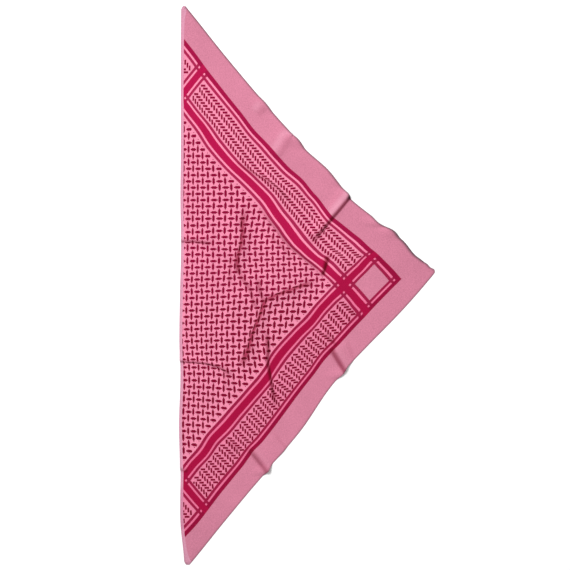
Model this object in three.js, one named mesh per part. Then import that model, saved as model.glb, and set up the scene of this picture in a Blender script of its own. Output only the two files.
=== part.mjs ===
// Triangle scarf in double-knit jacquard, laid out flat with its long edge on the left.
// Millimetres, +Z up, floor at Z = 0, origin under the middle of the laid scarf.
// The panel is first described as it is cut, flat: u runs in from the long edge towards the
// corner opposite it, and v runs along the long edge, 0 at its middle.
// Then each point of the cut is carried to where the laid cloth has it.

import * as THREE from 'three';

// Flat cut
const LONG_EDGE = 1630;   // from far tip to far tip
const DEPTH = 692;        // from the long edge to the corner opposite it
const CORNER = 5;         // rounding of that corner
const WALL = 2;           // thickness of the knit

// Spacing of the points over the cloth
const GRID = 16;

// The two legs are the short sides. How wide the cut is falls off along v by LEG_FALL.
const LEG_FALL = 2 * DEPTH / LONG_EDGE;
const LEG_SLANT = Math.atan(1 / LEG_FALL);

// Knitted stripes that run along each leg, measured from the leg along u
const OUTER_STRIPE = 87;
const BROAD_STRIPE = 231;

// The knit is soft and has been pulled out of square here and there as it was laid.
// Each row is a section across the scarf at v. It says how far right and up the cloth has moved
// there at the long edge, at the broad stripe, at the outer stripe and at the leg.
const SECTION_STEP = 135;
const SECTIONS = [
  { v: 810, edge: [-2, 16], broad: [4, 16], outer: [6, 16], leg: [6, 16] },
  { v: 675, edge: [-3, 11], broad: [6, 10], outer: [5, 10], leg: [4, 10] },
  { v: 540, edge: [-3, 8], broad: [11, 3], outer: [0, 4], leg: [8, 4] },
  { v: 405, edge: [-3, 1], broad: [-1, -1], outer: [6, -3], leg: [19, -3] },
  { v: 270, edge: [-4, 1], broad: [14, 3], outer: [12, 6], leg: [21, 6] },
  { v: 135, edge: [-2, 5], broad: [-2, 7], outer: [23, 18], leg: [40, 34] },
  { v: 0, edge: [-5, 10], broad: [4, 29], outer: [17, 44], leg: [35, 71] },
  { v: -135, edge: [-7, 13], broad: [-10, 23], outer: [-16, 26], leg: [-5, 34] },
  { v: -270, edge: [-4, 28], broad: [-1, 15], outer: [-21, 20], leg: [-28, 20] },
  { v: -405, edge: [-8, 29], broad: [5, 16], outer: [-11, 16], leg: [-10, 16] },
  { v: -540, edge: [-4, 25], broad: [10, 26], outer: [2, 25], leg: [-2, 25] },
  { v: -675, edge: [-4, 26], broad: [4, 26], outer: [7, 26], leg: [2, 27] },
  { v: -810, edge: [7, 40], broad: [18, 40], outer: [18, 40], leg: [18, 40] },
];

// Waves of the leg edges. leg is 1 for the upper leg and -1 for the lower one, v is the place,
// out is how far the edge stands outwards, lift is how far it is off the floor, and half is
// half the wave's length.
const WAVE_DEPTH = 60;
const EDGE_WAVES = [
  { leg: 1, v: 545, out: 2, lift: 4, half: 28 },
  { leg: 1, v: 445, out: 4, lift: 6, half: 26 },
  { leg: 1, v: 350, out: 9, lift: 6, half: 75 },
  { leg: 1, v: 286, out: 7, lift: 5, half: 26 },
  { leg: 1, v: 194, out: -3, lift: 5, half: 24 },
  { leg: 1, v: 150, out: 5, lift: 6, half: 26 },
  { leg: 1, v: 62, out: -13, lift: 0, half: 62 },
  { leg: 1, v: 30, out: -3, lift: 0, half: 24 },
  { leg: 1, v: 14, out: -5, lift: 0, half: 14 },
  { leg: -1, v: -60, out: 6, lift: 0, half: 110 },
  { leg: -1, v: -242, out: 1, lift: 7, half: 22 },
  { leg: -1, v: -532, out: 3, lift: 7, half: 22 },
];

// Where the cloth is drawn a little further one way around a point, by the folds beside it
const PULLS = [
  { name: 'outer stripe into the tuck', u: 417, v: 222, right: -8, up: -7, reach: 75 },
  { name: 'outer stripe above the tuck', u: 329, v: 325, right: 4, up: 3, reach: 60 },
  { name: 'outer stripe by the upper herringbone', u: 202, v: 475, right: -2, up: -2, reach: 60 },
  { name: 'broad stripe by the lower middle fold', u: 300, v: -190, right: -3, up: 3, reach: 90 },
  { name: 'broad stripe in the corner', u: 500, v: -38, right: -4, up: -4, reach: 48 },
  { name: 'broad stripe below the crossing', u: 376, v: -100, right: 3, up: -3, reach: 50 },
  { name: 'outer stripe below the middle', u: 431, v: -205, right: -3, up: 3, reach: 60 },
  { name: 'outer stripe by the lower herringbone', u: 202, v: -475, right: -3, up: 2, reach: 60 },
];

// The largest folds. path is the middle of the fold's steep flank, in u and v, and the crest lies
// to the right of the way it runs. height is the crest's, steep and gentle are the widths of the
// two flanks, take is how much cloth the fold takes up, and start and end say how much of the fold
// is there at the ends of its path: 0 where it fades out and 1 where it runs off an edge.
const FOLD_REACH = 80;
const FOLDS = [
  { name: 'tuck in the upper margin', height: 8, steep: 24, gentle: 44, take: 12, start: 1, end: 0,
    path: [[470, 290], [439, 240], [414, 207], [380, 160], [360, 120]] },
  { name: 'ridge along the broad stripe', height: 7, steep: 22, gentle: 36, take: 4, start: 0, end: 0,
    path: [[402, 36], [382, 56], [347, 100], [294, 160], [244, 215], [217, 250], [192, 280]] },
  { name: 'upper middle fold', height: 6, steep: 20, gentle: 28, take: 9, start: 0, end: 0,
    path: [[163, 28], [157, 67], [160, 113], [173, 166], [176, 223], [184, 270]] },
  { name: 'lower middle fold', height: 7.5, steep: 24, gentle: 32, take: 13, start: 0, end: 0,
    path: [[172, -230], [188, -184], [210, -144], [228, -99], [238, -60], [236, -10]] },
  { name: 'branch of the lower middle fold', height: 5, steep: 19, gentle: 28, take: 8, start: 0, end: 0,
    path: [[240, -52], [261, -27], [297, -14], [345, 2]] },
  { name: 'fold across the lower broad stripe', height: 6, steep: 19, gentle: 30, take: 7, start: 0, end: 0,
    path: [[255, -108], [259, -165], [258, -212], [259, -256], [262, -300], [282, -350]] },
  { name: 'lower fold from the long edge', height: 4, steep: 18, gentle: 26, take: 11, start: 0, end: 1,
    path: [[150, -258], [99, -229], [47, -218], [-10, -214]] },
  { name: 'upper fold from the long edge', height: 4, steep: 18, gentle: 24, take: 9, start: 0, end: 1,
    path: [[95, 133], [41, 147], [-10, 150]] },
  { name: 'lower margin fold by the tip', height: 7, steep: 20, gentle: 28, take: 6, start: 1, end: 0,
    path: [[255, -549], [222, -495], [190, -445]] },
  { name: 'lower margin fold by the middle', height: 7, steep: 20, gentle: 28, take: 6, start: 1, end: 0,
    path: [[500, -254], [469, -205], [440, -162]] },
];

// 0 below 0, 1 above 1, and soft at both ends in between
function soft(share) {
  const t = Math.min(Math.max(share, 0), 1);
  return t * t * (3 - 2 * t);
}

function blend(from, to, share) {
  return from + (to - from) * Math.min(Math.max(share, 0), 1);
}

// Smooth curve through four values in a row, between the middle two
function through(before, from, to, after, t) {
  const bend = 2 * before - 5 * from + 4 * to - after;
  const turn = 3 * from - before - 3 * to + after;
  return 0.5 * (2 * from + (to - before) * t + bend * t * t + turn * t * t * t);
}

// How far the cloth at v has moved at one of the section's four places; axis 0 is right, 1 is up
function moved(place, axis, v) {
  const last = SECTIONS.length - 1;
  const row = Math.min(Math.max((SECTIONS[0].v - v) / SECTION_STEP, 0), last);
  const from = Math.min(Math.floor(row), last - 1);
  const value = (index) => SECTIONS[Math.min(Math.max(index, 0), last)][place][axis];
  return through(value(from - 1), value(from), value(from + 1), value(from + 2), row - from);
}

// Width of the flat cut at v, from the long edge to the leg
function cutWidth(v) {
  return DEPTH - LEG_FALL * (Math.hypot(v, CORNER) - CORNER);
}

// Slow drift of the cloth at u, v, as [right, up]
function drift(u, v) {
  const width = cutWidth(v);
  const field = Math.max(width - BROAD_STRIPE, 0.6 * width, 1);
  const held = 1 - soft(u / field);
  return [0, 1].map((axis) => {
    const leg = moved('leg', axis, v);
    const outer = moved('outer', axis, v);
    const broad = moved('broad', axis, v);
    const fromLeg = (distance) => blend(leg, outer, distance / OUTER_STRIPE)
      + blend(0, broad - outer, (distance - OUTER_STRIPE) / (BROAD_STRIPE - OUTER_STRIPE));
    return fromLeg(width - u) + (moved('edge', axis, v) - fromLeg(width)) * held;
  });
}

// Short steps along a smooth curve through a fold's path
function fineSteps(path) {
  const parts = 6;
  const last = path.length - 1;
  const value = (index, axis) => {
    if (index < 0) return 2 * path[0][axis] - path[1][axis];
    if (index > last) return 2 * path[last][axis] - path[last - 1][axis];
    return path[index][axis];
  };
  const points = [];
  for (let step = 0; step <= last * parts; step += 1) {
    const from = Math.min(Math.floor(step / parts), last - 1);
    const t = step / parts - from;
    points.push([0, 1].map((axis) => through(
      value(from - 1, axis), value(from, axis), value(from + 1, axis), value(from + 2, axis), t)));
  }
  return points;
}

// Nearest place on a fold's line: share of the way along it, distance from it (positive to the
// left of the way it runs) and the direction to that left side
function nearest(line, u, v) {
  let best = { distance: Infinity };
  for (let index = 1; index < line.length; index += 1) {
    const [fromU, fromV] = line[index - 1];
    const stepU = line[index][0] - fromU;
    const stepV = line[index][1] - fromV;
    const length = Math.hypot(stepU, stepV);
    const along = Math.min(Math.max(((u - fromU) * stepU + (v - fromV) * stepV) / length, 0), length);
    const offU = u - fromU - along * stepU / length;
    const offV = v - fromV - along * stepV / length;
    const distance = Math.hypot(offU, offV);
    if (distance < best.distance) {
      const left = [-stepV / length, stepU / length];
      const side = Math.sign(offU * left[0] + offV * left[1]) || 1;
      best = { distance, side, left, share: (index - 1 + along / length) / (line.length - 1) };
    }
  }
  return { share: best.share, left: best.left, off: best.distance * best.side };
}

const foldLines = FOLDS.map((fold) => fineSteps(fold.path));

// Height of a fold's cross-section at a distance from the middle of its steep flank
function foldProfile(fold, off) {
  const fromCrest = off + fold.steep / 2;
  const flank = fromCrest > 0 ? fold.steep : fold.gentle;
  return fold.height * soft(1 - Math.abs(fromCrest) / flank);
}

// How far a fold draws the cloth towards itself at a distance from it
function foldPull(fold, off) {
  const ramp = Math.max(fold.steep, 1.2 * fold.take);
  const t = Math.min(Math.max(off / ramp, -1), 1);
  const draw = t * (1.5 - 0.5 * t * t);
  return -0.5 * fold.take * draw * soft((FOLD_REACH - Math.abs(off)) / (FOLD_REACH - ramp));
}

// Where the underside of the laid cloth is, for a point of the flat cut
function laid(u, v) {
  const [right, up] = drift(u, v);
  const place = new THREE.Vector3(u + right, v + up, 0);
  const fromLeg = Math.max(cutWidth(v) - u, 0) * Math.sin(LEG_SLANT);
  for (const wave of EDGE_WAVES) {
    const near = wave.leg * v > 0 ? soft(1 - Math.abs(v - wave.v) / wave.half) : 0;
    const out = wave.out * near * soft(1 - fromLeg / WAVE_DEPTH);
    place.x += out * Math.sin(LEG_SLANT);
    place.y += out * Math.cos(LEG_SLANT) * wave.leg;
    place.z += wave.lift * near * soft(1 - fromLeg / (0.7 * WAVE_DEPTH));
  }
  for (const pull of PULLS) {
    const near = soft(1 - Math.hypot(u - pull.u, v - pull.v) / pull.reach);
    place.x += pull.right * near;
    place.y += pull.up * near;
  }
  FOLDS.forEach((fold, index) => {
    const { share, left, off } = nearest(foldLines[index], u, v);
    const fade = 0.35;
    const full = blend(fold.start, 1, soft(share / fade)) * blend(fold.end, 1, soft((1 - share) / fade));
    const pull = full * foldPull(fold, off);
    place.x += pull * left[0];
    place.y += pull * left[1];
    place.z += full * foldProfile(fold, off);
  });
  return place;
}

// A point that is close to a fold's crest is moved onto it, so that the crest is a clean line
function ontoCrest(u, v) {
  let point = [u, v];
  FOLDS.forEach((fold, index) => {
    const { share, left, off } = nearest(foldLines[index], u, v);
    const fromCrest = off + fold.steep / 2;
    if (share > 0 && share < 1 && Math.abs(fromCrest) < 0.35 * GRID) {
      point = [u - left[0] * fromCrest, v - left[1] * fromCrest];
    }
  });
  return point;
}

// Rows of points across the flat cut, from the lower tip to the upper one. A row near a tip is
// short and has few points. Each tip is a single point with one more row close to it, which
// makes the tip blunt.
function cutRows() {
  const half = LONG_EDGE / 2;
  const count = 2 * Math.ceil(half / GRID);
  const places = [CORNER - half];
  for (let index = 1; index < count; index += 1) places.push(-half + LONG_EDGE * index / count);
  places.push(half - CORNER);
  const rows = places.map((v) => {
    const width = cutWidth(v);
    const steps = Math.max(Math.round(width / GRID), 1);
    const row = [];
    for (let step = 0; step <= steps; step += 1) {
      const u = width * step / steps;
      row.push(step > 0 && step < steps ? ontoCrest(u, v) : [u, v]);
    }
    return row;
  });
  const tip = cutWidth(half) / 4;
  return [[[tip, -half]], ...rows, [[tip, half]]];
}

// Triangles of the strip between two rows, as indices of their points, facing up
function strip(lower, upper) {
  const triangles = [];
  let a = 0;
  let b = 0;
  while (a < lower.length - 1 || b < upper.length - 1) {
    const nextA = (a + 1) / Math.max(lower.length - 1, 1);
    const nextB = (b + 1) / Math.max(upper.length - 1, 1);
    const stepLower = b === upper.length - 1 || (a < lower.length - 1 && nextA <= nextB);
    if (stepLower) {
      triangles.push([lower[a], lower[a + 1], upper[b]]);
      a += 1;
    } else {
      triangles.push([lower[a], upper[b + 1], upper[b]]);
      b += 1;
    }
  }
  return triangles;
}

// The panel as a closed wall: an underside, a top WALL above it, and a rim all the way round
function knittedPanel() {
  const cut = cutRows();
  const numbers = [];
  let total = 0;
  for (const row of cut) numbers.push(row.map(() => total++));
  const under = cut.flat().map(([u, v]) => laid(u, v));

  const box = new THREE.Box3().setFromPoints(under);
  const middle = box.getCenter(new THREE.Vector3());
  const positions = [];
  for (const lift of [0, WALL]) {
    for (const point of under) positions.push(point.x - middle.x, point.y - middle.y, point.z + lift);
  }

  const indices = [];
  for (let index = 1; index < numbers.length; index += 1) {
    for (const [a, b, c] of strip(numbers[index - 1], numbers[index])) {
      indices.push(a, c, b);
      indices.push(a + total, b + total, c + total);
    }
  }
  const longEdge = numbers.map((row) => row[0]);
  const legs = numbers.slice(1, -1).map((row) => row[row.length - 1]);
  const rim = [...legs, ...longEdge.reverse()];
  rim.forEach((from, place) => {
    const to = rim[(place + 1) % rim.length];
    indices.push(from, to, to + total, from, to + total, from + total);
  });

  const geometry = new THREE.BufferGeometry();
  geometry.setAttribute('position', new THREE.Float32BufferAttribute(positions, 3));
  geometry.setIndex(indices);
  geometry.computeVertexNormals();
  return geometry;
}

const knit = new THREE.MeshStandardMaterial({
  name: 'knit', color: '#dd8ca6', roughness: 0.95, metalness: 0, flatShading: true });

const panel = new THREE.Mesh(knittedPanel(), knit);
panel.name = 'knitted_panel';

const scarf = new THREE.Group();
scarf.add(panel);

export default scarf;
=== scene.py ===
# Triangle scarf in double-knit jacquard, laid out flat and seen from straight above.
# Metres in the CAD frame: +Y along the long edge, +X towards the corner opposite it, floor at Z = 0.

import math

import bpy
import numpy as np
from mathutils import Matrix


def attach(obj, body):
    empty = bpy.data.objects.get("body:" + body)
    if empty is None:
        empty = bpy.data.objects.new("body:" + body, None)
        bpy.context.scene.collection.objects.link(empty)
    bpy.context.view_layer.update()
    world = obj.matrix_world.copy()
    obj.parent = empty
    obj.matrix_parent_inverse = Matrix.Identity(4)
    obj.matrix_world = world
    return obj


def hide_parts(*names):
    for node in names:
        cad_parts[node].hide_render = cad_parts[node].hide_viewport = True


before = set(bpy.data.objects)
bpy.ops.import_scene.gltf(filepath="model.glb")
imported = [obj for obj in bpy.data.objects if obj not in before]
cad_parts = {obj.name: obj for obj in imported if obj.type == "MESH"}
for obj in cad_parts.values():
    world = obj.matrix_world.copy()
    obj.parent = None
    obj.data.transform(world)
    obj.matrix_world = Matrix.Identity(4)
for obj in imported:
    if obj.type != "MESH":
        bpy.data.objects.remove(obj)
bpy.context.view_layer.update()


# Camera
# Straight above, 4 m up, over the middle of the photograph's frame. One of the photograph's
# 570 pixels is 2.875 mm on the floor, and the lens takes in that width at that height.

CAMERA_HEIGHT = 4.0
FRAME_WIDTH = 570 * 0.002875
FRAME_MIDDLE = (-0.0628, 0.001)
SENSOR_WIDTH = 36

bpy.ops.object.select_all(action="DESELECT")
bpy.ops.object.camera_add(location=(*FRAME_MIDDLE, CAMERA_HEIGHT), rotation=(0, 0, 0))
camera = bpy.context.object
camera.name = "camera"
camera.data.sensor_width = SENSOR_WIDTH
camera.data.lens = SENSOR_WIDTH * CAMERA_HEIGHT / FRAME_WIDTH
bpy.context.scene.camera = camera


# Knitted panel
# One right-angled triangle of soft double-knit jacquard in pink and crimson wool, knitted in one
# go with its stripes, bands and marks. It is laid face up, and it rests on the floor except where
# it is creased. Sizes here are millimetres on the flat cut: u runs in from the long edge, v along it.

MM = 0.001
LONG_EDGE = 1630
DEPTH = 692
CORNER = 5
THICKNESS = 2.4
LEG_FALL = 2 * DEPTH / LONG_EDGE
LEG_SLANT = math.atan(1 / LEG_FALL)

# How far in from the leg the stripes and the sides of the herringbone band lie, counted along u
OUTER_STRIPE = 87
BAND_OUTER = 111
BAND_INNER = 200
BROAD_STRIPE = 231

# The point of the laid cloth that stands on the frame's origin
LAID_MIDDLE = (359.5, 28.0)

# Where the laid cloth has moved from the flat cut: a row per section at v, and for the long edge,
# the broad stripe, the outer stripe and the leg how far it is to the right and up.
SECTION_STEP = 135
SECTIONS = [
    {"v": 810, "edge": (-2, 16), "broad": (4, 16), "outer": (6, 16), "leg": (6, 16)},
    {"v": 675, "edge": (-3, 11), "broad": (6, 10), "outer": (5, 10), "leg": (4, 10)},
    {"v": 540, "edge": (-3, 8), "broad": (11, 3), "outer": (0, 4), "leg": (8, 4)},
    {"v": 405, "edge": (-3, 1), "broad": (-1, -1), "outer": (6, -3), "leg": (19, -3)},
    {"v": 270, "edge": (-4, 1), "broad": (14, 3), "outer": (12, 6), "leg": (21, 6)},
    {"v": 135, "edge": (-2, 5), "broad": (-2, 7), "outer": (23, 18), "leg": (40, 34)},
    {"v": 0, "edge": (-5, 10), "broad": (4, 29), "outer": (17, 44), "leg": (35, 71)},
    {"v": -135, "edge": (-7, 13), "broad": (-10, 23), "outer": (-16, 26), "leg": (-5, 34)},
    {"v": -270, "edge": (-4, 28), "broad": (-1, 15), "outer": (-21, 20), "leg": (-28, 20)},
    {"v": -405, "edge": (-8, 29), "broad": (5, 16), "outer": (-11, 16), "leg": (-10, 16)},
    {"v": -540, "edge": (-4, 25), "broad": (10, 26), "outer": (2, 25), "leg": (-2, 25)},
    {"v": -675, "edge": (-4, 26), "broad": (4, 26), "outer": (7, 26), "leg": (2, 27)},
    {"v": -810, "edge": (7, 40), "broad": (18, 40), "outer": (18, 40), "leg": (18, 40)},
]

# Waves of the leg edges: leg is 1 for the upper one and -1 for the lower one. out is how far the
# edge stands outwards, lift how far it is off the floor, half is half the wave's length.
WAVE_DEPTH = 60
EDGE_WAVES = [
    {"leg": 1, "v": 545, "out": 2, "lift": 4, "half": 28},
    {"leg": 1, "v": 445, "out": 4, "lift": 6, "half": 26},
    {"leg": 1, "v": 350, "out": 9, "lift": 6, "half": 75},
    {"leg": 1, "v": 286, "out": 3, "lift": 5, "half": 22},
    {"leg": 1, "v": 190, "out": -4, "lift": 5, "half": 24},
    {"leg": 1, "v": 150, "out": 5, "lift": 6, "half": 26},
    {"leg": 1, "v": 62, "out": -13, "lift": 0, "half": 62},
    {"leg": 1, "v": 30, "out": -3, "lift": 0, "half": 24},
    {"leg": 1, "v": 14, "out": -5, "lift": 0, "half": 14},
    {"leg": -1, "v": -60, "out": 6, "lift": 0, "half": 110},
    {"leg": -1, "v": -246, "out": 4, "lift": 7, "half": 22},
    {"leg": -1, "v": -526, "out": 5, "lift": 7, "half": 22},
]

# Where the cloth is drawn a little further one way around a point, by the folds beside it
PULLS = [
    {"name": "outer stripe into the tuck", "u": 417, "v": 222, "right": -8, "up": -7, "reach": 75},
    {"name": "outer stripe above the tuck", "u": 329, "v": 325, "right": 4, "up": 3, "reach": 60},
    {"name": "outer stripe by the upper herringbone", "u": 202, "v": 475, "right": -2, "up": -2, "reach": 60},
    {"name": "broad stripe by the lower middle fold", "u": 300, "v": -190, "right": -3, "up": 3, "reach": 90},
    {"name": "broad stripe in the corner", "u": 500, "v": -38, "right": -2, "up": -2, "reach": 48},
    {"name": "broad stripe above the corner", "u": 437, "v": 80, "right": 4, "up": 4, "reach": 50},
    {"name": "inner end of the lower crossing", "u": 466, "v": -21, "right": 1, "up": -4, "reach": 42},
    {"name": "outer end of the lower crossing", "u": 522, "v": -86, "right": 3, "up": 2, "reach": 40},
    {"name": "outer end of the upper crossing", "u": 526, "v": 73, "right": -2, "up": 5, "reach": 45},
    {"name": "outer stripe below the tuck", "u": 460, "v": 172, "right": -3, "up": -2.5, "reach": 48},
    {"name": "broad stripe by the upper middle fold", "u": 265, "v": 235, "right": -2, "up": -2, "reach": 60},
    {"name": "broad stripe by the upper long edge", "u": 62, "v": 475, "right": 2.5, "up": 2, "reach": 58},
    {"name": "broad stripe above its lower end", "u": 125, "v": -400, "right": 2, "up": -2, "reach": 65},
    {"name": "broad stripe by its lower end", "u": 64, "v": -475, "right": 4, "up": -3.5, "reach": 55},
    {"name": "broad stripe below the crossing", "u": 376, "v": -100, "right": 3, "up": -3, "reach": 50},
    {"name": "outer stripe below the middle", "u": 431, "v": -205, "right": -3, "up": 3, "reach": 60},
    {"name": "outer stripe by the lower herringbone", "u": 202, "v": -475, "right": -3, "up": 2, "reach": 60},
]

# How far the herringbone marks of the lower band have slid along the leg, at the band's inner and
# outer side: towards the corner above 0, towards the tip below 0
MARK_SLIDES = [
    {"v": -600, "inner": 0, "outer": 0},
    {"v": -550, "inner": -6, "outer": -3},
    {"v": -270, "inner": -11, "outer": 4},
    {"v": -90, "inner": -22, "outer": -12},
]

# Folds and creases. path is the middle of the steep flank in u and v, and the crest lies to the
# right of the way it runs. height is the crest's, steep and gentle are the widths of the two
# flanks, and take is the cloth that it takes up. dark says how deep the shade painted along it is
# and line how far that painted shade reaches to each side, and pale how much a painted highlight
# lightens plain knit over the crest. start and end are 1 where the fold runs off an edge. Past
# FOLD_REACH a fold draws in no cloth, and the painted highlight lies PALE_OFF down the gentle flank,
# PALE_HALF to each side.
FOLD_REACH = 80
PALE_OFF = 8
PALE_HALF = 16
FOLDS = [
    {"name": "tuck in the upper margin", "height": 8, "steep": 20, "gentle": 40, "take": 12,
     "dark": 0.8, "line": 10.5, "pale": 0.3, "start": 1, "end": 0,
     "path": [(469, 288), (439, 240), (414, 207), (399, 188), (384, 165), (369, 137)]},
    {"name": "crease in the upper herringbone", "height": 4, "steep": 13, "gentle": 24, "take": 6,
     "dark": 0.5, "line": 9, "pale": 0, "start": 0, "end": 0,
     "path": [(149, 388), (175, 368), (209, 344), (235, 329), (262, 307), (283, 283), (311, 255)]},
    {"name": "ridge along the broad stripe", "height": 7, "steep": 18, "gentle": 34, "take": 4,
     "dark": 0.45, "line": 8, "pale": 0, "start": 0, "end": 0,
     "path": [(402, 21), (382, 56), (357, 88), (324, 126), (293, 160), (258, 199), (230, 231),
              (205, 263)]},
    {"name": "nick across the broad stripe", "height": 5, "steep": 12, "gentle": 16, "take": 7,
     "dark": 1, "line": 10, "pale": 0, "start": 0, "end": 0,
     "path": [(412, 102), (412, 75), (406, 48), (398, 25)]},
    {"name": "upper middle fold", "height": 6, "steep": 17, "gentle": 24, "take": 8,
     "dark": 0.9, "line": 12, "pale": 0, "start": 0, "end": 0,
     "path": [(179, 29), (165, 63), (163, 101), (172, 132), (176, 169), (172, 211), (180, 262)]},
    {"name": "foot of the upper middle fold", "height": 3, "steep": 16, "gentle": 22, "take": 3,
     "dark": 0.5, "line": 9, "pale": 0, "start": 0, "end": 0,
     "path": [(210, -58), (206, -41), (196, -1), (179, 29), (165, 63)]},
    {"name": "crease beside the upper middle fold", "height": 3, "steep": 14, "gentle": 20, "take": 3,
     "dark": 0.35, "line": 8, "pale": 0, "start": 0, "end": 0,
     "path": [(140, 11), (140, 71), (149, 107)]},
    {"name": "lower middle fold", "height": 7.5, "steep": 20, "gentle": 30, "take": 12,
     "dark": 0.95, "line": 14, "pale": 0, "start": 0, "end": 0,
     "path": [(169, -230), (182, -210), (197, -178), (207, -150), (217, -119), (229, -88), (238, -54),
              (245, -35), (261, -21)]},
    {"name": "turn of the lower middle fold", "height": 3, "steep": 16, "gentle": 20, "take": 4,
     "dark": 0.6, "line": 9, "pale": 0, "start": 0, "end": 0,
     "path": [(238, -54), (233, -28), (224, 3), (221, 36)]},
    {"name": "branch of the lower middle fold", "height": 5, "steep": 17, "gentle": 24, "take": 7,
     "dark": 0.9, "line": 11, "pale": 0, "start": 0, "end": 0,
     "path": [(235, -48), (256, -32), (286, -19), (317, -9), (347, 2), (389, 15)]},
    {"name": "fold across the lower broad stripe", "height": 6, "steep": 15, "gentle": 26, "take": 7,
     "dark": 0.85, "line": 10, "pale": 0, "start": 0, "end": 0,
     "path": [(255, -112), (259, -146), (259, -179), (254, -212), (256, -245), (264, -279),
              (275, -314), (288, -348)]},
    {"name": "crease by the lower broad stripe", "height": 3, "steep": 14, "gentle": 22, "take": 3,
     "dark": 0.25, "line": 8, "pale": 0, "start": 0, "end": 0,
     "path": [(127, -301), (127, -267), (131, -231), (141, -195)]},
    {"name": "lower fold from the long edge", "height": 4, "steep": 16, "gentle": 24, "take": 10,
     "dark": 0.6, "line": 10, "pale": 0, "start": 0, "end": 1,
     "path": [(156, -259), (122, -235), (82, -220), (47, -215), (-4, -212)]},
    {"name": "upper fold from the long edge", "height": 4, "steep": 16, "gentle": 22, "take": 8,
     "dark": 0.6, "line": 9, "pale": 0, "start": 0, "end": 1,
     "path": [(91, 141), (44, 150), (-7, 150)]},
    {"name": "nick in the long edge", "height": 3, "steep": 12, "gentle": 16, "take": 4,
     "dark": 0.5, "line": 7, "pale": 0, "start": 0, "end": 1,
     "path": [(23, -533), (-11, -522)]},
    {"name": "lower margin fold by the tip", "height": 7, "steep": 16, "gentle": 24, "take": 6,
     "dark": 0.5, "line": 15, "pale": 0.05, "start": 1, "end": 0,
     "path": [(253, -541), (222, -495), (196, -454)]},
    {"name": "lower margin fold by the middle", "height": 7, "steep": 16, "gentle": 24, "take": 6,
     "dark": 0.72, "line": 12, "pale": 0.05, "start": 1, "end": 0,
     "path": [(504, -255), (469, -208), (446, -171)]},
    {"name": "faint slant across the upper middle", "height": 3, "steep": 20, "gentle": 28, "take": 4,
     "dark": 0.3, "line": 7, "pale": 0, "start": 0, "end": 0,
     "path": [(244, 169), (288, 129), (321, 92)]},
    {"name": "crease across the lower herringbone", "height": 3, "steep": 14, "gentle": 22, "take": 3,
     "dark": 0.5, "line": 7, "pale": 0, "start": 0, "end": 0,
     "path": [(420, -132), (447, -155), (469, -172)]},
    {"name": "crease along the lower herringbone", "height": 2.5, "steep": 14, "gentle": 22, "take": 2,
     "dark": 0.35, "line": 7, "pale": 0, "start": 0, "end": 0,
     "path": [(121, -433), (171, -467)]},
    {"name": "swell in the upper margin", "height": 4, "steep": 30, "gentle": 50, "take": 2,
     "dark": 0.1, "line": 7, "pale": 0.2, "start": 1, "end": 0,
     "path": [(295, 446), (279, 413), (266, 390)]},
    {"name": "swell nearer the upper tip", "height": 3, "steep": 26, "gentle": 44, "take": 2,
     "dark": 0.1, "line": 7, "pale": 0.15, "start": 0, "end": 0,
     "path": [(236, 538), (213, 511)]},
    {"name": "swell in the lower margin", "height": 2, "steep": 24, "gentle": 34, "take": 1,
     "dark": 0.1, "line": 7, "pale": 0, "start": 0, "end": 1,
     "path": [(489, -150), (512, -201)]},
    {"name": "swell nearer the lower tip", "height": 2, "steep": 24, "gentle": 34, "take": 1,
     "dark": 0.1, "line": 7, "pale": 0, "start": 0, "end": 1,
     "path": [(270, -405), (309, -466)]},
]


# 0 below 0, 1 above 1, and soft at both ends in between
def soft(share):
    t = np.clip(share, 0, 1)
    return t * t * (3 - 2 * t)


# A smooth curve through four values in a row, t of the way from the second to the third
def through(before, start, end, after, t):
    bend = 2 * before - 5 * start + 4 * end - after
    turn = 3 * start - before - 3 * end + after
    return 0.5 * (2 * start + (end - before) * t + bend * t * t + turn * t * t * t)


# How wide the flat cut is at v, with its corner rounded off
def cut_width(v):
    return DEPTH - LEG_FALL * (np.hypot(v, CORNER) - CORNER)


# How far the cloth at v has moved at one of the section's places; axis 0 is right, 1 is up
def moved(place, axis, v):
    last = len(SECTIONS) - 1
    values = np.array([row[place][axis] for row in SECTIONS], float)
    row = np.clip((SECTIONS[0]["v"] - v) / SECTION_STEP, 0, last)
    start = np.minimum(np.floor(row).astype(int), last - 1)
    near = [values[np.clip(start + step, 0, last)] for step in (-1, 0, 1, 2)]
    return through(*near, row - start)


# How far the cloth has drifted to the right and up, without its folds
def drift(u, v):
    width = cut_width(v)
    field = np.maximum(np.maximum(width - BROAD_STRIPE, 0.6 * width), 1)
    held = 1 - soft(u / field)
    shifts = []
    for axis in (0, 1):
        edge, broad, outer, leg = (moved(place, axis, v) for place in ("edge", "broad", "outer", "leg"))

        def from_leg(distance):
            near = np.clip(distance / OUTER_STRIPE, 0, 1)
            far = np.clip((distance - OUTER_STRIPE) / (BROAD_STRIPE - OUTER_STRIPE), 0, 1)
            return leg + (outer - leg) * near + (broad - outer) * far

        shifts.append(from_leg(width - u) + (edge - from_leg(width)) * held)
    return shifts


# Short steps along a smooth curve through a fold's path
def fine_steps(path):
    parts = 6
    ends = np.array(path, float)
    row = np.vstack([2 * ends[0] - ends[1], ends, 2 * ends[-1] - ends[-2]])
    points = []
    for index in range(len(path) - 1):
        for part in range(parts):
            points.append(through(*row[index:index + 4], part / parts))
    points.append(ends[-1])
    return np.array(points)


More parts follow.
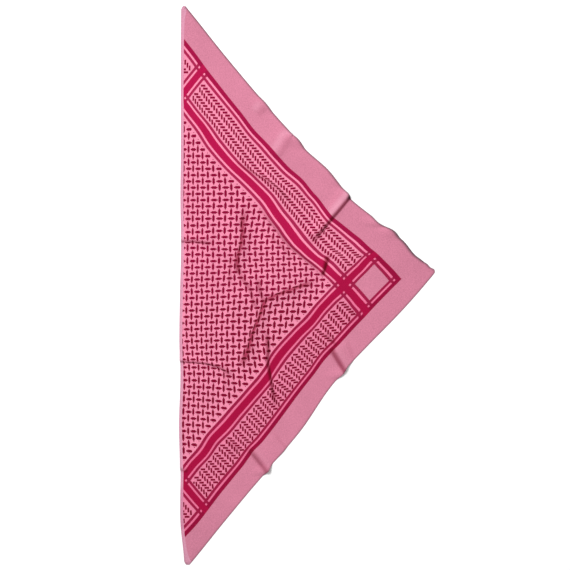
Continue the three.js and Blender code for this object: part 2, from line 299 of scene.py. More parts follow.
# Nearest place on a fold's line: share of the way along it, distance from it (positive to the
# left of the way it runs) and the direction to that left side
def nearest(line, u, v):
    best = np.full(u.shape, np.inf)
    share, side, left_u, left_v = (np.zeros(u.shape) for _ in range(4))
    for index in range(1, len(line)):
        step_u, step_v = line[index] - line[index - 1]
        length = math.hypot(step_u, step_v)
        from_u = u - line[index - 1][0]
        from_v = v - line[index - 1][1]
        along = np.clip((from_u * step_u + from_v * step_v) / length, 0, length)
        distance = np.hypot(from_u - along * step_u / length, from_v - along * step_v / length)
        closer = distance < best
        best = np.where(closer, distance, best)
        share = np.where(closer, (index - 1 + along / length) / (len(line) - 1), share)
        side = np.where(closer, np.where(from_v * step_u - from_u * step_v >= 0, 1, -1), side)
        left_u = np.where(closer, -step_v / length, left_u)
        left_v = np.where(closer, step_u / length, left_v)
    return share, best * side, left_u, left_v


# How far a fold has come up at its place, rising over a share of its length from each end
def risen(fold, share, rise):
    at_start = fold["start"] + (1 - fold["start"]) * soft(share / rise)
    at_end = fold["end"] + (1 - fold["end"]) * soft((1 - share) / rise)
    return at_start * at_end


# Where the underside of the laid cloth is, for points of the flat cut, and how much painted shade
# each point takes in a crease and how much painted highlight over a crest
def laid(u, v):
    right, up = drift(u, v)
    x = u + right
    y = v + up
    z = np.zeros(u.shape)
    crease = np.zeros(u.shape)
    crest_highlight = np.zeros(u.shape)
    from_leg = np.maximum(cut_width(v) - u, 0) * math.sin(LEG_SLANT)
    for wave in EDGE_WAVES:
        near = np.where(wave["leg"] * v > 0, soft(1 - np.abs(v - wave["v"]) / wave["half"]), 0)
        out = wave["out"] * near * soft(1 - from_leg / WAVE_DEPTH)
        x += out * math.sin(LEG_SLANT)
        y += out * math.cos(LEG_SLANT) * wave["leg"]
        z += wave["lift"] * near * soft(1 - from_leg / (0.7 * WAVE_DEPTH))
    for pull in PULLS:
        near = soft(1 - np.hypot(u - pull["u"], v - pull["v"]) / pull["reach"])
        x += pull["right"] * near
        y += pull["up"] * near
    for fold in FOLDS:
        share, off, left_u, left_v = nearest(fine_steps(fold["path"]), u, v)
        full = risen(fold, share, 0.35)
        from_crest = off + fold["steep"] / 2
        flank = np.where(from_crest > 0, fold["steep"], fold["gentle"])
        ramp = max(fold["steep"], 1.2 * fold["take"])
        t = np.clip(off / ramp, -1, 1)
        draw = t * (1.5 - 0.5 * t * t) * soft((FOLD_REACH - np.abs(off)) / (FOLD_REACH - ramp))
        x -= 0.5 * fold["take"] * full * draw * left_u
        y -= 0.5 * fold["take"] * full * draw * left_v
        z += fold["height"] * full * soft(1 - np.abs(from_crest) / flank)
        # Painted shade along the crease, reaching line to each side
        crease_shade_here = risen(fold, share, 0.2) * soft(1.2 - np.abs(off) / fold["line"])
        crease = np.maximum(crease, fold["dark"] * crease_shade_here)
        # Painted highlight over the crest, a little down the gentle flank
        thinned = soft(1 - np.abs(from_crest + PALE_OFF) / PALE_HALF)
        crest_highlight = np.maximum(crest_highlight, fold["pale"] * full * thinned)
    return x, y, z, crease, crest_highlight


# The flat cut: a fine grid, trimmed along the two legs and across the two tips
CELLS = 210
plain_depth = DEPTH + LEG_FALL * CORNER
plain_half = LONG_EDGE / 2 + CORNER
bpy.ops.object.select_all(action="DESELECT")
bpy.ops.mesh.primitive_grid_add(x_subdivisions=CELLS, y_subdivisions=2 * CELLS, size=1)
panel = bpy.context.object
panel.name = "knitted_scarf_panel"
bpy.ops.object.mode_set(mode="EDIT")
bpy.ops.transform.resize(value=(plain_depth * MM, 2 * plain_half * MM, 1))
bpy.ops.transform.translate(value=(plain_depth / 2 * MM, 0, 0))
for side in (1, -1):
    leg_facing = (math.sin(LEG_SLANT), side * math.cos(LEG_SLANT), 0)
    bpy.ops.mesh.select_all(action="SELECT")
    bpy.ops.mesh.bisect(plane_co=(plain_depth * MM, 0, 0), plane_no=leg_facing, clear_outer=True,
                        threshold=0.00001)
    bpy.ops.mesh.select_all(action="SELECT")
    bpy.ops.mesh.bisect(plane_co=(0, side * LONG_EDGE / 2 * MM, 0), plane_no=(0, side, 0), clear_outer=True,
                        threshold=0.00001)
bpy.ops.mesh.select_all(action="SELECT")
bpy.ops.mesh.remove_doubles(threshold=0.00002)
bpy.ops.object.mode_set(mode="OBJECT")

mesh = panel.data
flat = np.empty(len(mesh.vertices) * 3)
mesh.vertices.foreach_get("co", flat)
u, v = (flat.reshape(-1, 3)[:, :2] / MM).T
u = u * cut_width(v) / (plain_depth - LEG_FALL * np.abs(v))

# Distance from the nearest edge, and the tips rounded off on the long edge's side
TIP_START = 803
TIP_LENGTH = 12
TIP_ROUND = 6
from_edge = np.minimum(u, (cut_width(v) - u) * math.sin(LEG_SLANT))
from_edge = np.minimum(from_edge, LONG_EDGE / 2 - np.abs(v))
tip = np.clip((np.abs(v) - TIP_START) / TIP_LENGTH, 0, 1) ** 2
x, y, z, crease, crest_highlight = laid(u, v)
x += TIP_ROUND * tip * (1 - u / cut_width(v))
places = np.column_stack([x - LAID_MIDDLE[0], y - LAID_MIDDLE[1], z]) * MM
mesh.vertices.foreach_set("co", places.ravel())

# Each point keeps its place on the flat cut in millimetres. The stitches by the long edge are
# stretched in from it, more along its lower half, so the marks start further in. The herringbone
# marks have a place of their own, which has slid along the leg.
stretched = 5 + 5 * soft((v - 100) / 250) + 8 * soft((-40 - v) / 250)
stretch_reach = np.where(v > 0, 80, 115)
stitch_u = u - stretched * (1 - soft(u / stretch_reach))
across_band = np.clip((BAND_INNER - (cut_width(v) - u)) / (BAND_INNER - BAND_OUTER), 0, 1)
slide_rows = [row["v"] for row in MARK_SLIDES]
inner_slide, outer_slide = (np.interp(v, slide_rows, [row[side] for row in MARK_SLIDES])
                            for side in ("inner", "outer"))
slide = np.where(v < 0, inner_slide + (outer_slide - inner_slide) * across_band, 0)
slide_u = slide * math.sin(math.atan(LEG_FALL))
slide_v = slide * math.cos(math.atan(LEG_FALL))
cloth_places = np.column_stack([stitch_u, v, u])
mark_places = np.column_stack([stitch_u - slide_u, v - slide_v, 2 * slide_u])
for name, values in (("flat_place", cloth_places), ("mark_place", mark_places)):
    layer = mesh.attributes.new(name, "FLOAT_VECTOR", "POINT")
    layer.data.foreach_set("vector", values.ravel())

# It also keeps the painted shade along the creases, the painted highlight over the crests, and how
# dark its edge is: the other layer's yarn round the edge together with painted shade, most along
# the upper leg, and a painted shadow at the end of the tuck
EDGE_DARK_WIDTH = 4
TUCK_END = (461, 278)
on_upper_leg = (v > 0) & (u > 4)
turned_up = soft((v - 20) / 25) * soft((200 - v) / 40)
upper_edge_yarn_and_shade = (0.8 + 0.2 * turned_up) * soft(1.25 - from_edge / (EDGE_DARK_WIDTH + 1.5 * turned_up))
edge_yarn_and_shade = np.where(on_upper_leg, upper_edge_yarn_and_shade, 0.25 * soft(1.25 - from_edge / EDGE_DARK_WIDTH))
# A painted shadow at the outer end of the tuck
tuck_end_shadow = soft(1.4 - np.hypot(u - TUCK_END[0], v - TUCK_END[1]) / 10)
edge_yarn_and_shade = np.maximum(edge_yarn_and_shade, 0.95 * tuck_end_shadow)
for name, values in (("painted_crease_shade", crease), ("painted_crest_highlight", crest_highlight), ("edge_yarn_and_painted_shade", edge_yarn_and_shade)):
    layer = mesh.attributes.new(name, "FLOAT", "POINT")
    layer.data.foreach_set("value", values)

# The knit thins towards its edges, which gives the rim its roundness
rim = panel.vertex_groups.new(name="thickness")
for index, distance in enumerate(from_edge):
    rim.add([index], 0.4 + 0.6 * float(soft(distance / 3)), "REPLACE")
wall = panel.modifiers.new("wall", "SOLIDIFY")
wall.thickness = THICKNESS * MM
wall.offset = 1
wall.vertex_group = "thickness"
wall.material_offset = 1
wall.material_offset_rim = 0


# An sRGB hex colour as linear light
def linear(colour):
    parts = [int(colour[index:index + 2], 16) / 255 for index in (1, 3, 5)]
    return (*[part / 12.92 if part <= 0.04045 else ((part + 0.055) / 1.055) ** 2.4 for part in parts], 1)


# Adds a node with its settings; an input is given a value, a socket or a node, whose first output
# is then used
def add(tree, kind, inputs=None, **settings):
    node = tree.nodes.new(kind)
    for name, value in settings.items():
        setattr(node, name, value)
    for socket, value in (inputs or {}).items():
        if isinstance(value, bpy.types.Node):
            value = value.outputs[0]
        if isinstance(value, bpy.types.NodeSocket):
            tree.links.new(value, node.inputs[socket])
        else:
            node.inputs[socket].default_value = value
    return node


# Double-knit jacquard: two layers of stockinette stitch, matt and slightly fuzzy, with each stitch
# in one of the yarns. The chart counts stitches: one is 1.715 mm wide and 2.02 mm high, so a stripe
# that moves on by one stitch in each row runs along the leg.
STITCH_WIDTH = 1.715
STITCH_HEIGHT = STITCH_WIDTH / LEG_FALL
EDGE_STRIP = 8.5

# Stripes, counted in stitches in from the long edge's middle, parallel to a leg: those below 0 cross
# the other leg near its tip, and the broad one between 251 and 287 crosses it by the corner too
STRIPES = [
    {"yarn": "thin", "middle": -297.5, "stitches": 6},
    {"yarn": "pink", "middle": -292.5, "stitches": 4},
    {"yarn": "crimson", "middle": -283, "stitches": 15},
    {"yarn": "pink", "middle": -273.5, "stitches": 4},
    {"yarn": "thin", "middle": -268.5, "stitches": 6},
    {"yarn": "thin", "middle": 254.5, "stitches": 6},
    {"yarn": "pink", "middle": 259.5, "stitches": 4},
    {"yarn": "crimson", "middle": 269, "stitches": 15},
    {"yarn": "pink", "middle": 278.5, "stitches": 4},
    {"yarn": "thin", "middle": 283.5, "stitches": 6},
    {"yarn": "thin", "middle": 341.5, "stitches": 6},
    {"yarn": "pink", "middle": 346.5, "stitches": 4},
    {"yarn": "deep", "middle": 353, "stitches": 9},
]

# Where the marks and the brighter ground lie, counted as the stripes are
FIELD_MARKS = (-259.3, 245.5)
FIELD_GROUND = (-265.7, 254.2)
BAND_MARKS_MIDDLE = 313.4
BAND_MARKS_HALF = 24.8
BAND_GROUND_MIDDLE = 311.6
BAND_GROUND_HALF = 30.1
BAND_GROUND_END = 256.6
LAST_MARK_MIDDLE = 249.0
LAST_MARK_END = 250.5
CROSSING_MIDDLE = -283.0
CROSSING_HALF = 23.3
MARGIN_START = 357.5
FIRST_STRIP = 327.5

# Rank of each yarn: where two stripes cross, the higher one shows. A yarn's ranks start a little
# below its own.
RANK_MARGIN = 0.05
RANKS = {"plain": 0.0, "strip": 0.07, "bright": 0.15, "pink": 0.3,
         "thin": 0.45, "deep": 0.6, "crimson": 0.75, "mark": 0.9}
FACE_YARNS = {"plain": "#C97B93", "strip": "#D492AA", "bright": "#E688A4", "pink": "#F08BA9",
              "thin": "#A0204A", "deep": "#9A0E40", "crimson": "#AC1046", "mark": "#850432"}
BACK_YARNS = {"plain": "#B23A60", "strip": "#B23A60", "bright": "#A82A54", "pink": "#9C1444",
              "thin": "#E08CA8", "deep": "#E288A6", "crimson": "#E68AA8", "mark": "#F394B0"}

for material_name, yarns in (("double_knit_jacquard_face", FACE_YARNS),
                             ("double_knit_jacquard_back", BACK_YARNS)):
    knit = bpy.data.materials.new(material_name)
    knit.use_nodes = True
    mesh.materials.append(knit)
    tree = knit.node_tree
    tree.nodes.clear()

    # Stitch counts across and along; each stitch is a V, so its ends stand half a row higher. The
    # herringbone marks have counts of their own, and the names that the loop ends with are the cloth's.
    counts_at = {}
    for place_name in ("mark_place", "flat_place"):
        place = add(tree, "ShaderNodeAttribute", attribute_name=place_name).outputs["Vector"]
        parts = add(tree, "ShaderNodeSeparateXYZ", {0: place})
        across = add(tree, "ShaderNodeMath", {0: parts.outputs["X"], 1: STITCH_WIDTH}, operation="DIVIDE")
        along = add(tree, "ShaderNodeMath", {0: parts.outputs["Y"], 1: STITCH_HEIGHT}, operation="DIVIDE")
        column = add(tree, "ShaderNodeMath", {0: across}, operation="ROUND")
        in_stitch = add(tree, "ShaderNodeMath", {0: across, 1: column}, operation="SUBTRACT")
        off_middle = add(tree, "ShaderNodeMath", {0: in_stitch}, operation="ABSOLUTE")
        lowered = add(tree, "ShaderNodeMath", {0: off_middle, 1: 0.25}, operation="SUBTRACT")
        vee = add(tree, "ShaderNodeMath", {0: along, 1: lowered}, operation="SUBTRACT")
        row = add(tree, "ShaderNodeMath", {0: vee}, operation="ROUND")
        counts_at[place_name] = (column, row, parts)
    slid_column, slid_row, slid_parts = counts_at["mark_place"]
    slid_on = add(tree, "ShaderNodeMath", {0: slid_parts.outputs["Z"], 1: STITCH_WIDTH}, operation="DIVIDE")
    distance = add(tree, "ShaderNodeMath", {0: row}, operation="ABSOLUTE")
    near_leg = add(tree, "ShaderNodeMath", {0: column, 1: distance}, operation="ADD")
    far_leg = add(tree, "ShaderNodeMath", {0: column, 1: distance}, operation="SUBTRACT")

    # Stripes of both legs
    ranks = []
    for count in (near_leg, far_leg):
        rank = 0.0
        for stripe in STRIPES:
            half = stripe["stitches"] / 2
            on_stripe = add(tree, "ShaderNodeMath", {0: count, 1: stripe["middle"], 2: half},
                            operation="COMPARE")
            rank = add(tree, "ShaderNodeMath", {0: on_stripe, 1: RANKS[stripe["yarn"]], 2: rank},
                       operation="MULTIPLY_ADD")
        ranks.append(rank)
    striped = add(tree, "ShaderNodeMath", {0: ranks[0], 1: ranks[1]}, operation="MAXIMUM")

    # Middle field: a check of 9 by 9 stitches, with a dash in one cell and a stem in the next. A mark
    # is 4 stitches thick and 7 long, and its two middle lines of stitches go 2 further at each end.
    half_up = add(tree, "ShaderNodeMath", {0: row, 1: 0.5}, operation="ADD")
    half_right = add(tree, "ShaderNodeMath", {0: column, 1: 0.5}, operation="ADD")
    dash_off = add(tree, "ShaderNodeMath", {0: half_up, 1: 4.5}, operation="PINGPONG")
    stem_off = add(tree, "ShaderNodeMath", {0: half_right, 1: 4.5}, operation="PINGPONG")
    row_in_cell = add(tree, "ShaderNodeMath", {0: row, 1: 4.5}, operation="PINGPONG")
    column_in_cell = add(tree, "ShaderNodeMath", {0: column, 1: 4.5}, operation="PINGPONG")
    counts = add(tree, "ShaderNodeCombineXYZ", {0: column, 1: row})
    shifted = add(tree, "ShaderNodeVectorMath", {0: counts, 1: (4.5, 4.5, 4.5)}, operation="ADD")
    cell = add(tree, "ShaderNodeVectorMath", {0: shifted, 1: (9, 9, 9)}, operation="SNAP")
    cell_parts = add(tree, "ShaderNodeSeparateXYZ", {0: cell})
    cell_sum = add(tree, "ShaderNodeMath", {0: cell_parts.outputs["X"], 1: cell_parts.outputs["Y"]},
                   operation="ADD")
    odd = add(tree, "ShaderNodeMath", {0: cell_sum, 1: 9.0}, operation="PINGPONG")
    is_dash = add(tree, "ShaderNodeMath", {0: odd, 1: 4.5}, operation="GREATER_THAN")
    mark_off = add(tree, "ShaderNodeMix", {0: is_dash, 2: stem_off, 3: dash_off}, data_type="FLOAT")
    other_off = add(tree, "ShaderNodeMix", {0: is_dash, 2: dash_off, 3: stem_off}, data_type="FLOAT")
    across_mark = add(tree, "ShaderNodeMix", {0: is_dash, 2: column_in_cell, 3: row_in_cell},
                      data_type="FLOAT")
    along_mark = add(tree, "ShaderNodeMix", {0: is_dash, 2: row_in_cell, 3: column_in_cell},
                     data_type="FLOAT")
    near_end = add(tree, "ShaderNodeMath", {0: along_mark, 1: 3.5}, operation="GREATER_THAN")
    thinned = add(tree, "ShaderNodeMath", {0: mark_off, 1: near_end}, operation="ADD")
    own_mark = add(tree, "ShaderNodeMath", {0: thinned, 1: 2.0}, operation="LESS_THAN")
    at_side = add(tree, "ShaderNodeMath", {0: across_mark, 1: 3.5}, operation="GREATER_THAN")
    on_middle = add(tree, "ShaderNodeMath", {0: other_off, 1: 1.0}, operation="LESS_THAN")
    next_mark = add(tree, "ShaderNodeMath", {0: at_side, 1: on_middle}, operation="MULTIPLY")
    field_mark = add(tree, "ShaderNodeMath", {0: own_mark, 1: next_mark}, operation="MAXIMUM")
    cell_row = add(tree, "ShaderNodeMath", {0: cell_parts.outputs["Y"]}, operation="ABSOLUTE")
    cell_near = add(tree, "ShaderNodeMath", {0: cell_parts.outputs["X"], 1: cell_row}, operation="ADD")
    cell_far = add(tree, "ShaderNodeMath", {0: cell_parts.outputs["X"], 1: cell_row}, operation="SUBTRACT")
    before_broad = add(tree, "ShaderNodeMath", {0: cell_near, 1: FIELD_MARKS[1]}, operation="LESS_THAN")
    before_cross = add(tree, "ShaderNodeMath", {0: cell_far, 1: FIELD_MARKS[0]}, operation="GREATER_THAN")
    in_field = add(tree, "ShaderNodeMath", {0: before_broad, 1: before_cross}, operation="MULTIPLY")
    field = add(tree, "ShaderNodeMath", {0: field_mark, 1: in_field}, operation="MULTIPLY")

    # Herringbone: strips 4 stitches wide, each 4 rows lower than the last, that repeat every 24 rows.
    # A dash is 8 by 3 stitches over two strips, and a stem is 3 by 7 in one strip. Past the crossings,
    # in the two tips, the repeat stands 6 rows off in the lower one and 10 the other way in the upper.
    from_first = add(tree, "ShaderNodeMath", {0: slid_column, 1: FIRST_STRIP}, operation="SUBTRACT")
    strip_start = add(tree, "ShaderNodeMath", {0: from_first, 1: 4.0}, operation="SNAP")
    in_strip = add(tree, "ShaderNodeMath", {0: from_first, 1: strip_start}, operation="SUBTRACT")
    past_cross = add(tree, "ShaderNodeMath", {0: far_leg, 1: CROSSING_MIDDLE}, operation="LESS_THAN")
    is_low = add(tree, "ShaderNodeMath", {0: row, 1: 0.0}, operation="LESS_THAN")
    tip_shift = add(tree, "ShaderNodeMath", {0: is_low, 1: 16.0, 2: -10.0}, operation="MULTIPLY_ADD")
    tip_row = add(tree, "ShaderNodeMath", {0: past_cross, 1: tip_shift, 2: slid_row},
                  operation="MULTIPLY_ADD")
    slid = add(tree, "ShaderNodeMath", {0: tip_row, 1: strip_start}, operation="ADD")
    in_repeat = add(tree, "ShaderNodeMath", {0: slid, 1: 9.0, 2: -15.0}, operation="WRAP")
    pair_off = add(tree, "ShaderNodeMath", {0: in_repeat}, operation="ABSOLUTE")
    dash = add(tree, "ShaderNodeMath", {0: pair_off, 1: 2.0, 2: 1.0}, operation="COMPARE")
    stem_row = add(tree, "ShaderNodeMath", {0: in_repeat, 1: -12.0, 2: 3.2}, operation="COMPARE")
    stem_column = add(tree, "ShaderNodeMath", {0: in_strip, 1: 1.0}, operation="GREATER_THAN")
    stem = add(tree, "ShaderNodeMath", {0: stem_row, 1: stem_column}, operation="MULTIPLY")
    slanted = add(tree, "ShaderNodeMath", {0: dash, 1: stem}, operation="MAXIMUM")

    # Middle of each herringbone mark, where it lies on the cloth, which says whether it is knitted
    left_half = add(tree, "ShaderNodeMath", {0: in_repeat, 1: 0.0}, operation="LESS_THAN")
    half_shift = add(tree, "ShaderNodeMath", {0: left_half, 1: 4.0, 2: strip_start}, operation="MULTIPLY_ADD")
    mark_column = add(tree, "ShaderNodeMath", {0: half_shift, 1: FIRST_STRIP}, operation="ADD")
    half_row = add(tree, "ShaderNodeMath", {0: left_half, 1: -4.0, 2: 2.0}, operation="MULTIPLY_ADD")
    mark_row = add(tree, "ShaderNodeMix", {0: stem_row, 2: half_row, 3: -12.0}, data_type="FLOAT")
    row_off = add(tree, "ShaderNodeMath", {0: in_repeat, 1: mark_row}, operation="SUBTRACT")
    middle_row = add(tree, "ShaderNodeMath", {0: slid_row, 1: row_off}, operation="SUBTRACT")
    middle_distance = add(tree, "ShaderNodeMath", {0: middle_row}, operation="ABSOLUTE")
    middle_near = add(tree, "ShaderNodeMath", {0: mark_column, 1: middle_distance}, operation="ADD")
    unslid_far = add(tree, "ShaderNodeMath", {0: mark_column, 1: middle_distance}, operation="SUBTRACT")
    middle_far = add(tree, "ShaderNodeMath", {0: unslid_far, 1: slid_on}, operation="ADD")
    in_band = add(tree, "ShaderNodeMath", {0: middle_near, 1: BAND_MARKS_MIDDLE, 2: BAND_MARKS_HALF},
                  operation="COMPARE")
    before_square = add(tree, "ShaderNodeMath", {0: middle_far, 1: LAST_MARK_MIDDLE},
                        operation="LESS_THAN")
    on_cross = add(tree, "ShaderNodeMath", {0: middle_far, 1: CROSSING_MIDDLE, 2: CROSSING_HALF},
                   operation="COMPARE")
    clear = add(tree, "ShaderNodeMath", {0: before_square, 1: on_cross}, operation="SUBTRACT")
    kept = add(tree, "ShaderNodeMath", {0: in_band, 1: clear}, operation="MULTIPLY", use_clamp=True)
    short_of_cross = add(tree, "ShaderNodeMath", {0: far_leg, 1: LAST_MARK_END}, operation="LESS_THAN")
    whole = add(tree, "ShaderNodeMath", {0: kept, 1: short_of_cross}, operation="MULTIPLY")
    herringbone = add(tree, "ShaderNodeMath", {0: slanted, 1: whole}, operation="MULTIPLY")
    marks = add(tree, "ShaderNodeMath", {0: field, 1: herringbone}, operation="MAXIMUM")

    # Brighter pink between the marks, in the field and in the two herringbone bands
    field_near = add(tree, "ShaderNodeMath", {0: near_leg, 1: FIELD_GROUND[1]}, operation="LESS_THAN")
    field_far = add(tree, "ShaderNodeMath", {0: far_leg, 1: FIELD_GROUND[0]}, operation="GREATER_THAN")
    field_ground = add(tree, "ShaderNodeMath", {0: field_near, 1: field_far}, operation="MULTIPLY")
    band_near = add(tree, "ShaderNodeMath", {0: near_leg, 1: BAND_GROUND_MIDDLE, 2: BAND_GROUND_HALF},
                    operation="COMPARE")
    band_far = add(tree, "ShaderNodeMath", {0: far_leg, 1: BAND_GROUND_END}, operation="LESS_THAN")
    band_ground = add(tree, "ShaderNodeMath", {0: band_near, 1: band_far}, operation="MULTIPLY")
    ground = add(tree, "ShaderNodeMath", {0: field_ground, 1: band_ground}, operation="MAXIMUM")

    # The yarn that shows; nothing but plain knit outside the outer stripes and in the long edge's strip
    bright_rank = add(tree, "ShaderNodeMath", {0: ground, 1: RANKS["bright"]}, operation="MULTIPLY")
    mark_rank = add(tree, "ShaderNodeMath", {0: marks, 1: RANKS["mark"]}, operation="MULTIPLY")
    over_ground = add(tree, "ShaderNodeMath", {0: striped, 1: bright_rank}, operation="MAXIMUM")
    over_stripes = add(tree, "ShaderNodeMath", {0: over_ground, 1: mark_rank}, operation="MAXIMUM")
    inside_legs = add(tree, "ShaderNodeMath", {0: near_leg, 1: MARGIN_START}, operation="LESS_THAN")
    from_long_edge = parts.outputs["Z"]
    inside_edge = add(tree, "ShaderNodeMath", {0: from_long_edge, 1: EDGE_STRIP}, operation="GREATER_THAN")
    inside = add(tree, "ShaderNodeMath", {0: inside_legs, 1: inside_edge}, operation="MULTIPLY")
    in_strip_part = add(tree, "ShaderNodeMath", {0: from_long_edge, 1: EDGE_STRIP}, operation="LESS_THAN")
    strip_rank = add(tree, "ShaderNodeMath", {0: in_strip_part, 1: RANKS["strip"]}, operation="MULTIPLY")
    rank = add(tree, "ShaderNodeMath", {0: over_stripes, 1: inside, 2: strip_rank}, operation="MULTIPLY_ADD")
    yarn = add(tree, "ShaderNodeValToRGB", {0: rank})
    yarn.color_ramp.interpolation = "CONSTANT"
    yarn.color_ramp.elements.remove(yarn.color_ramp.elements[1])
    yarn.color_ramp.elements[0].color = linear(yarns["plain"])
    for name in list(RANKS)[1:]:
        element = yarn.color_ramp.elements.new(RANKS[name] - RANK_MARGIN)
        element.color = linear(yarns[name])

    # Mottling of the yarn: clumps of fibre about 4 mm wide, drawn coarser than the yarn's own so
    # that they show, and slow changes over a hand's breadth
    fine = add(tree, "ShaderNodeTexNoise", {"Vector": place, "Scale": 0.3, "Detail": 2.0})
    slow = add(tree, "ShaderNodeTexNoise", {"Vector": place, "Scale": 0.014, "Detail": 2.0})
    fine_tone = add(tree, "ShaderNodeMapRange", {0: fine, 1: 0.3, 2: 0.7, 3: 0.87, 4: 1.13})
    slow_tone = add(tree, "ShaderNodeMapRange", {0: slow, 1: 0.3, 2: 0.7, 3: 0.97, 4: 1.03})
    uneven = add(tree, "ShaderNodeMath", {0: fine_tone, 1: slow_tone}, operation="MULTIPLY")

    # The knit is made a little darker towards the two tips and in the corner
    tip_tone = add(tree, "ShaderNodeMapRange", {0: distance, 1: 300.0, 2: 390.0, 3: 1.0, 4: 0.9})
    corner_tone = add(tree, "ShaderNodeMapRange", {0: column, 1: 320.0, 2: 400.0, 3: 1.0, 4: 0.93})
    tips_and_corner_darker = add(tree, "ShaderNodeMath", {0: tip_tone, 1: corner_tone}, operation="MULTIPLY")
    tone = add(tree, "ShaderNodeMath", {0: uneven, 1: tips_and_corner_darker}, operation="MULTIPLY")
    mottled = add(tree, "ShaderNodeVectorMath", {0: yarn, "Scale": tone}, operation="SCALE")

    # The stripes look deeper along the lower leg and in the corner than along the upper leg, and
    # the ground of the lower herringbone band does too, though less
    is_lower = add(tree, "ShaderNodeMapRange", {0: row, 1: 0.0, 2: -25.0, 3: 0.0, 4: 1.0})
    is_stripe = add(tree, "ShaderNodeMath", {0: rank, 1: RANKS["pink"] - RANK_MARGIN},
                    operation="GREATER_THAN")
    in_corner = add(tree, "ShaderNodeMapRange", {0: far_leg, 1: 225.0, 2: 260.0, 3: 0.0, 4: 0.8})
    either = add(tree, "ShaderNodeMath", {0: is_lower, 1: in_corner}, operation="MAXIMUM")
    band_part = add(tree, "ShaderNodeMath", {0: band_ground, 1: 0.45}, operation="MULTIPLY")
    knit_part = add(tree, "ShaderNodeMath", {0: is_stripe, 1: band_part}, operation="MAXIMUM")
    deeper = add(tree, "ShaderNodeMath", {0: either, 1: knit_part}, operation="MULTIPLY")
    shaded = add(tree, "ShaderNodeMix", {0: deeper, 6: mottled, 7: linear("#EECBDD")},
                 data_type="RGBA", blend_type="MULTIPLY")

    # Painted highlight over a crest: the plain knit of the margins is made paler there
    crest_highlight_part = add(tree, "ShaderNodeAttribute", attribute_name="painted_crest_highlight").outputs["Fac"]
    is_plain = add(tree, "ShaderNodeMath", {0: rank, 1: RANKS["strip"] - RANK_MARGIN},
                   operation="LESS_THAN")
    highlight_on_plain = add(tree, "ShaderNodeMath", {0: crest_highlight_part, 1: is_plain}, operation="MULTIPLY")
    crest_highlighted = add(tree, "ShaderNodeMix", {0: highlight_on_plain, 6: shaded.outputs[2], 7: linear("#EFB4C8")},
                  data_type="RGBA")

    # The outermost stitches are darkened: partly by the other layer's yarn, which shows round the
    # edge, and partly by painted shade, most along the upper leg, with a painted shadow at the end of the
    # tuck
    edge_dark_part = add(tree, "ShaderNodeAttribute", attribute_name="edge_yarn_and_painted_shade").outputs["Fac"]
    edged = add(tree, "ShaderNodeMix", {0: edge_dark_part, 6: crest_highlighted.outputs[2], 7: linear("#5C484E")},
                data_type="RGBA")

    # Painted shade in the creases: along each crease the pink is darkened to a deep red-pink
    crease_shade_part = add(tree, "ShaderNodeAttribute", attribute_name="painted_crease_shade").outputs["Fac"]
    crease_shaded = add(tree, "ShaderNodeMix", {0: crease_shade_part, 6: edged.outputs[2], 7: linear("#AC5976")},
                  data_type="RGBA", blend_type="MULTIPLY")

    # Relief: the stitches in their rows, and a fuzzy unevenness of the surface
    in_row = add(tree, "ShaderNodeMath", {0: vee, 1: row}, operation="SUBTRACT")
    row_off_middle = add(tree, "ShaderNodeMath", {0: in_row}, operation="ABSOLUTE")
    stitch_relief = add(tree, "ShaderNodeMath", {0: row_off_middle, 1: off_middle}, operation="ADD")
    fuzz = add(tree, "ShaderNodeMath", {0: fine, 1: 1.6}, operation="MULTIPLY")
    relief = add(tree, "ShaderNodeMath", {0: fuzz, 1: stitch_relief}, operation="SUBTRACT")
    bump = add(tree, "ShaderNodeBump", {"Height": relief, "Strength": 0.6, "Distance": 0.0006})
    cloth = add(tree, "ShaderNodeBsdfPrincipled", {
        "Base Color": crease_shaded.outputs[2], "Roughness": 0.95, "Specular IOR Level": 0.08,
        "Sheen Weight": 0.03, "Sheen Roughness": 0.5, "Normal": bump})
    add(tree, "ShaderNodeOutputMaterial", {0: cloth})

bpy.ops.object.select_all(action="DESELECT")
panel.select_set(True)
bpy.context.view_layer.objects.active = panel
bpy.ops.object.modifier_apply(modifier="wall")
bpy.ops.object.shade_smooth()

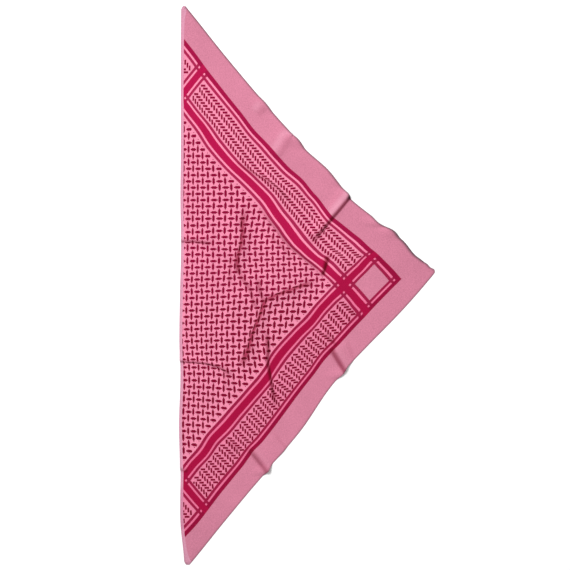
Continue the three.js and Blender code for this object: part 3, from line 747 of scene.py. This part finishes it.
# Flat layout for the export: the face's two halves fill two thirds of the square, the back the rest
layout = mesh.uv_layers.new(name="OFBake")
faces = len(mesh.polygons)
corners = len(mesh.loops)
corner_point = np.empty(corners, int)
mesh.loops.foreach_get("vertex_index", corner_point)
face_size = np.empty(faces, int)
mesh.polygons.foreach_get("loop_total", face_size)
is_back = np.empty(faces, int)
mesh.polygons.foreach_get("material_index", is_back)
flat_place = np.empty(len(mesh.vertices) * 3)
mesh.attributes["flat_place"].data.foreach_get("vector", flat_place)
corner_place = flat_place.reshape(-1, 3)[corner_point]
face_of_corner = np.repeat(np.arange(faces), face_size)
middle_v = np.bincount(face_of_corner, corner_place[:, 1]) / face_size
upper = (middle_v > 0)[face_of_corner]
back = (is_back == 1)[face_of_corner]
along_share = np.abs(corner_place[:, 1]) / plain_half
across_share = corner_place[:, 0] / plain_depth
gap = 0.004
square_x = np.where(upper, gap + (1 - 3 * gap) * along_share, 1 - gap - (1 - 3 * gap) * along_share)
square_y = np.where(upper, gap + (1 - 3 * gap) * across_share, 1 - gap - (1 - 3 * gap) * across_share)
square_y = np.where(back, 0.67 + 0.33 * square_y, 0.66 * square_y)
layout.data.foreach_set("uv", np.column_stack([square_x, square_y]).ravel())

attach(panel, "root")
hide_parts("knitted_panel")


# Floor
# A seamless sheet of matt white studio paper, well past the camera's view on every side.

bpy.ops.object.select_all(action="DESELECT")
bpy.ops.mesh.primitive_plane_add(size=12, location=(0, 0, 0))
floor = bpy.context.object
floor.name = "studio_paper"
paper = bpy.data.materials.new("matt_white_paper")
paper.use_nodes = True
paper.node_tree.nodes.clear()
paper_place = add(paper.node_tree, "ShaderNodeTexCoord").outputs["Object"]
grain = add(paper.node_tree, "ShaderNodeTexNoise", {"Vector": paper_place, "Scale": 300.0, "Detail": 2.0})
grain_relief = add(paper.node_tree, "ShaderNodeBump", {"Height": grain, "Strength": 0.1, "Distance": 0.0002})
sheet = add(paper.node_tree, "ShaderNodeBsdfPrincipled", {
    "Base Color": linear("#FCFCFC"), "Roughness": 0.95, "Specular IOR Level": 0.1, "Normal": grain_relief})
add(paper.node_tree, "ShaderNodeOutputMaterial", {0: sheet})
floor.data.materials.append(paper)


# Light
# One large soft box at the upper left, fairly low, so that the folds shade to the lower right,
# and an even white room light that fills the shadows.

bpy.ops.object.select_all(action="DESELECT")
bpy.ops.object.light_add(type="AREA", location=(-2.4, 3.2, 5.6))
soft_box = bpy.context.object
soft_box.name = "soft_box"
soft_box.data.shape = "DISK"
soft_box.data.size = 3.2
soft_box.data.energy = 430
soft_box.rotation_euler = (-soft_box.location).to_track_quat("-Z", "Y").to_euler()

room = bpy.data.worlds.new("studio_room")
room.use_nodes = True
room.node_tree.nodes.clear()
glow = add(room.node_tree, "ShaderNodeBackground", {"Color": (1, 1, 1, 1), "Strength": 0.52})
add(room.node_tree, "ShaderNodeOutputWorld", {0: glow})
bpy.context.scene.world = room
bpy.context.scene.view_settings.view_transform = "Standard"
